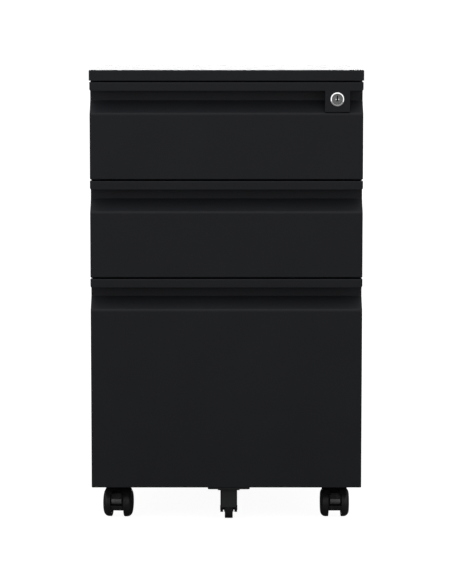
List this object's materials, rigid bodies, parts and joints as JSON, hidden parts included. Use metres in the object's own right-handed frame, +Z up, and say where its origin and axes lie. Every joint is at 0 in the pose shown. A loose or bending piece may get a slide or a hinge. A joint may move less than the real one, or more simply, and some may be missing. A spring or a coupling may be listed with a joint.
{
  "type": "rolling pedestal cabinet",
  "caption": "Black steel rolling pedestal cabinet: drawers with full-width recessed pulls, a lock, twin-wheel casters and an anti-tip wheel under the file drawer.",
  "frame": {"origin": "centre of the footprint on the floor, below the middle of the cabinet's bounding box", "axes": "+X to the cabinet's right seen from the front, +Y from the drawer fronts to the back, +Z up"},
  "size_m": [0.36, 0.4524, 0.6],
  "materials": {
    "black_powder_coat": "satin black powder coat with a fine orange-peel grain",
    "zinc_steel": "bright zinc-plated steel",
    "black_zinc": "black zinc-plated steel",
    "chrome": "polished chrome",
    "lock_plug_nickel": "bead-blasted nickel plate",
    "black_nylon": "moulded black nylon, lightly glossy"
  },
  "bodies": {
    "case": {"top_panel": "black_powder_coat", "side_panel_right": "black_powder_coat", "side_panel_left": "black_powder_coat", "back_panel": "black_powder_coat", "base_panel": "black_powder_coat", "top_rail": "black_powder_coat", "upright_front_left": "black_powder_coat", "upright_front_right": "black_powder_coat", "uprights_rear": "black_powder_coat", "back_rivets": "black_powder_coat", "caster_stems": "zinc_steel", "lock_guides": "zinc_steel", "slide_outer_top": "zinc_steel", "slide_outer_middle": "zinc_steel", "slide_outer_bottom": "zinc_steel"},
    "drawer_top": {"drawer_front_top": "black_powder_coat", "drawer_liner_top": "black_powder_coat", "drawer_box_top": "black_powder_coat", "slide_inner_top": "zinc_steel", "lock_catch_top": "zinc_steel", "lock_barrel": "chrome", "lock_nut": "zinc_steel"},
    "slides_top": {"slide_middle_top": "zinc_steel"},
    "drawer_middle": {"drawer_front_middle": "black_powder_coat", "drawer_liner_middle": "black_powder_coat", "drawer_box_middle": "black_powder_coat", "slide_inner_middle": "zinc_steel", "lock_catch_middle": "zinc_steel"},
    "slides_middle": {"slide_middle_middle": "zinc_steel"},
    "drawer_bottom": {"drawer_front_bottom": "black_powder_coat", "drawer_liner_bottom": "black_powder_coat", "drawer_box_bottom": "black_powder_coat", "slide_inner_bottom": "zinc_steel", "lock_catch_bottom": "zinc_steel", "file_rails": "zinc_steel", "fifth_wheel_bracket": "black_powder_coat", "fifth_wheel_axle": "black_zinc"},
    "slides_bottom": {"slide_middle_bottom": "zinc_steel"},
    "lock_plug": {"lock_plug": "lock_plug_nickel", "lock_cam": "zinc_steel"},
    "lock_bar": {"lock_bar": "zinc_steel"},
    "fifth_wheel": {"fifth_wheel": "black_nylon"},
    "caster_front_left": {"caster_housing_front_left": "black_nylon", "caster_axle_front_left": "zinc_steel"},
    "wheel_left_front_left": {"wheel_left_front_left": "black_nylon"},
    "wheel_right_front_left": {"wheel_right_front_left": "black_nylon"},
    "brake_lever_front_left": {"brake_lever_front_left": "black_nylon"},
    "caster_front_right": {"caster_housing_front_right": "black_nylon", "caster_axle_front_right": "zinc_steel"},
    "wheel_left_front_right": {"wheel_left_front_right": "black_nylon"},
    "wheel_right_front_right": {"wheel_right_front_right": "black_nylon"},
    "brake_lever_front_right": {"brake_lever_front_right": "black_nylon"},
    "caster_rear_left": {"caster_housing_rear_left": "black_nylon", "caster_axle_rear_left": "zinc_steel"},
    "wheel_left_rear_left": {"wheel_left_rear_left": "black_nylon"},
    "wheel_right_rear_left": {"wheel_right_rear_left": "black_nylon"},
    "caster_rear_right": {"caster_housing_rear_right": "black_nylon", "caster_axle_rear_right": "zinc_steel"},
    "wheel_left_rear_right": {"wheel_left_rear_right": "black_nylon"},
    "wheel_right_rear_right": {"wheel_right_rear_right": "black_nylon"}
  },
  "joints": [
    {"name": "drawer_top", "type": "slide", "parent": "case", "child": "drawer_top", "axis": [0, -1, 0], "range_m": [0, 0.38]},
    {"name": "slides_top", "type": "slide", "parent": "case", "child": "slides_top", "axis": [0, -1, 0], "range_m": [0, 0.19]},
    {"name": "drawer_middle", "type": "slide", "parent": "case", "child": "drawer_middle", "axis": [0, -1, 0], "range_m": [0, 0.38]},
    {"name": "slides_middle", "type": "slide", "parent": "case", "child": "slides_middle", "axis": [0, -1, 0], "range_m": [0, 0.19]},
    {"name": "drawer_bottom", "type": "slide", "parent": "case", "child": "drawer_bottom", "axis": [0, -1, 0], "range_m": [0, 0.38]},
    {"name": "slides_bottom", "type": "slide", "parent": "case", "child": "slides_bottom", "axis": [0, -1, 0], "range_m": [0, 0.19]},
    {"name": "lock_plug", "type": "hinge", "parent": "drawer_top", "child": "lock_plug", "pos_m": [0.145, -0.2238, 0.5617], "axis": [0, 1, 0], "range_deg": [0, 90]},
    {"name": "lock_bar", "type": "slide", "parent": "case", "child": "lock_bar", "axis": [0, 0, 1], "range_m": [0, 0.00849]},
    {"name": "fifth_wheel_spin", "type": "hinge", "parent": "drawer_bottom", "child": "fifth_wheel", "pos_m": [0.0031, -0.1953, 0.0146], "axis": [1, 0, 0], "continuous": true},
    {"name": "swivel_front_left", "type": "hinge", "parent": "case", "child": "caster_front_left", "pos_m": [-0.1438, -0.1628, 0], "axis": [0, 0, 1], "continuous": true},
    {"name": "roll_left_front_left", "type": "hinge", "parent": "caster_front_left", "child": "wheel_left_front_left", "pos_m": [-0.14543, -0.17972, 0.0195], "axis": [0.9954, -0.0958, 0], "continuous": true},
    {"name": "roll_right_front_left", "type": "hinge", "parent": "caster_front_left", "child": "wheel_right_front_left", "pos_m": [-0.14543, -0.17972, 0.0195], "axis": [0.9954, -0.0958, 0], "continuous": true},
    {"name": "brake_front_left", "type": "hinge", "parent": "caster_front_left", "child": "brake_lever_front_left", "pos_m": [-0.14634, -0.18918, 0.0317], "axis": [0.9954, -0.0958, 0], "range_deg": [0, 15]},
    {"name": "swivel_front_right", "type": "hinge", "parent": "case", "child": "caster_front_right", "pos_m": [0.1452, -0.1628, 0], "axis": [0, 0, 1], "continuous": true},
    {"name": "roll_left_front_right", "type": "hinge", "parent": "caster_front_right", "child": "wheel_left_front_right", "pos_m": [0.14544, -0.1798, 0.0195], "axis": [0.9999, 0.014, 0], "continuous": true},
    {"name": "roll_right_front_right", "type": "hinge", "parent": "caster_front_right", "child": "wheel_right_front_right", "pos_m": [0.14544, -0.1798, 0.0195], "axis": [0.9999, 0.014, 0], "continuous": true},
    {"name": "brake_front_right", "type": "hinge", "parent": "caster_front_right", "child": "brake_lever_front_right", "pos_m": [0.14557, -0.1893, 0.0317], "axis": [0.9999, 0.014, 0], "range_deg": [0, 15]},
    {"name": "swivel_rear_left", "type": "hinge", "parent": "case", "child": "caster_rear_left", "pos_m": [-0.1438, 0.1652, 0], "axis": [0, 0, 1], "continuous": true},
    {"name": "roll_left_rear_left", "type": "hinge", "parent": "caster_rear_left", "child": "wheel_left_rear_left", "pos_m": [-0.14202, 0.18211, 0.0195], "axis": [-0.9945, 0.1045, 0], "continuous": true},
    {"name": "roll_right_rear_left", "type": "hinge", "parent": "caster_rear_left", "child": "wheel_right_rear_left", "pos_m": [-0.14202, 0.18211, 0.0195], "axis": [-0.9945, 0.1045, 0], "continuous": true},
    {"name": "swivel_rear_right", "type": "hinge", "parent": "case", "child": "caster_rear_right", "pos_m": [0.1452, 0.1652, 0], "axis": [0, 0, 1], "continuous": true},
    {"name": "roll_left_rear_right", "type": "hinge", "parent": "caster_rear_right", "child": "wheel_left_rear_right", "pos_m": [0.14283, 0.18204, 0.0195], "axis": [-0.9903, -0.1392, 0], "continuous": true},
    {"name": "roll_right_rear_right", "type": "hinge", "parent": "caster_rear_right", "child": "wheel_right_rear_right", "pos_m": [0.14283, 0.18204, 0.0195], "axis": [-0.9903, -0.1392, 0], "continuous": true}
  ],
  "couplings": [
    {"joint": "slides_top", "follows": "drawer_top", "ratio": 0.5},
    {"joint": "slides_middle", "follows": "drawer_middle", "ratio": 0.5},
    {"joint": "slides_bottom", "follows": "drawer_bottom", "ratio": 0.5},
    {"joint": "lock_plug", "follows": "lock_bar", "rad_per_m": 185.1}
  ]
}
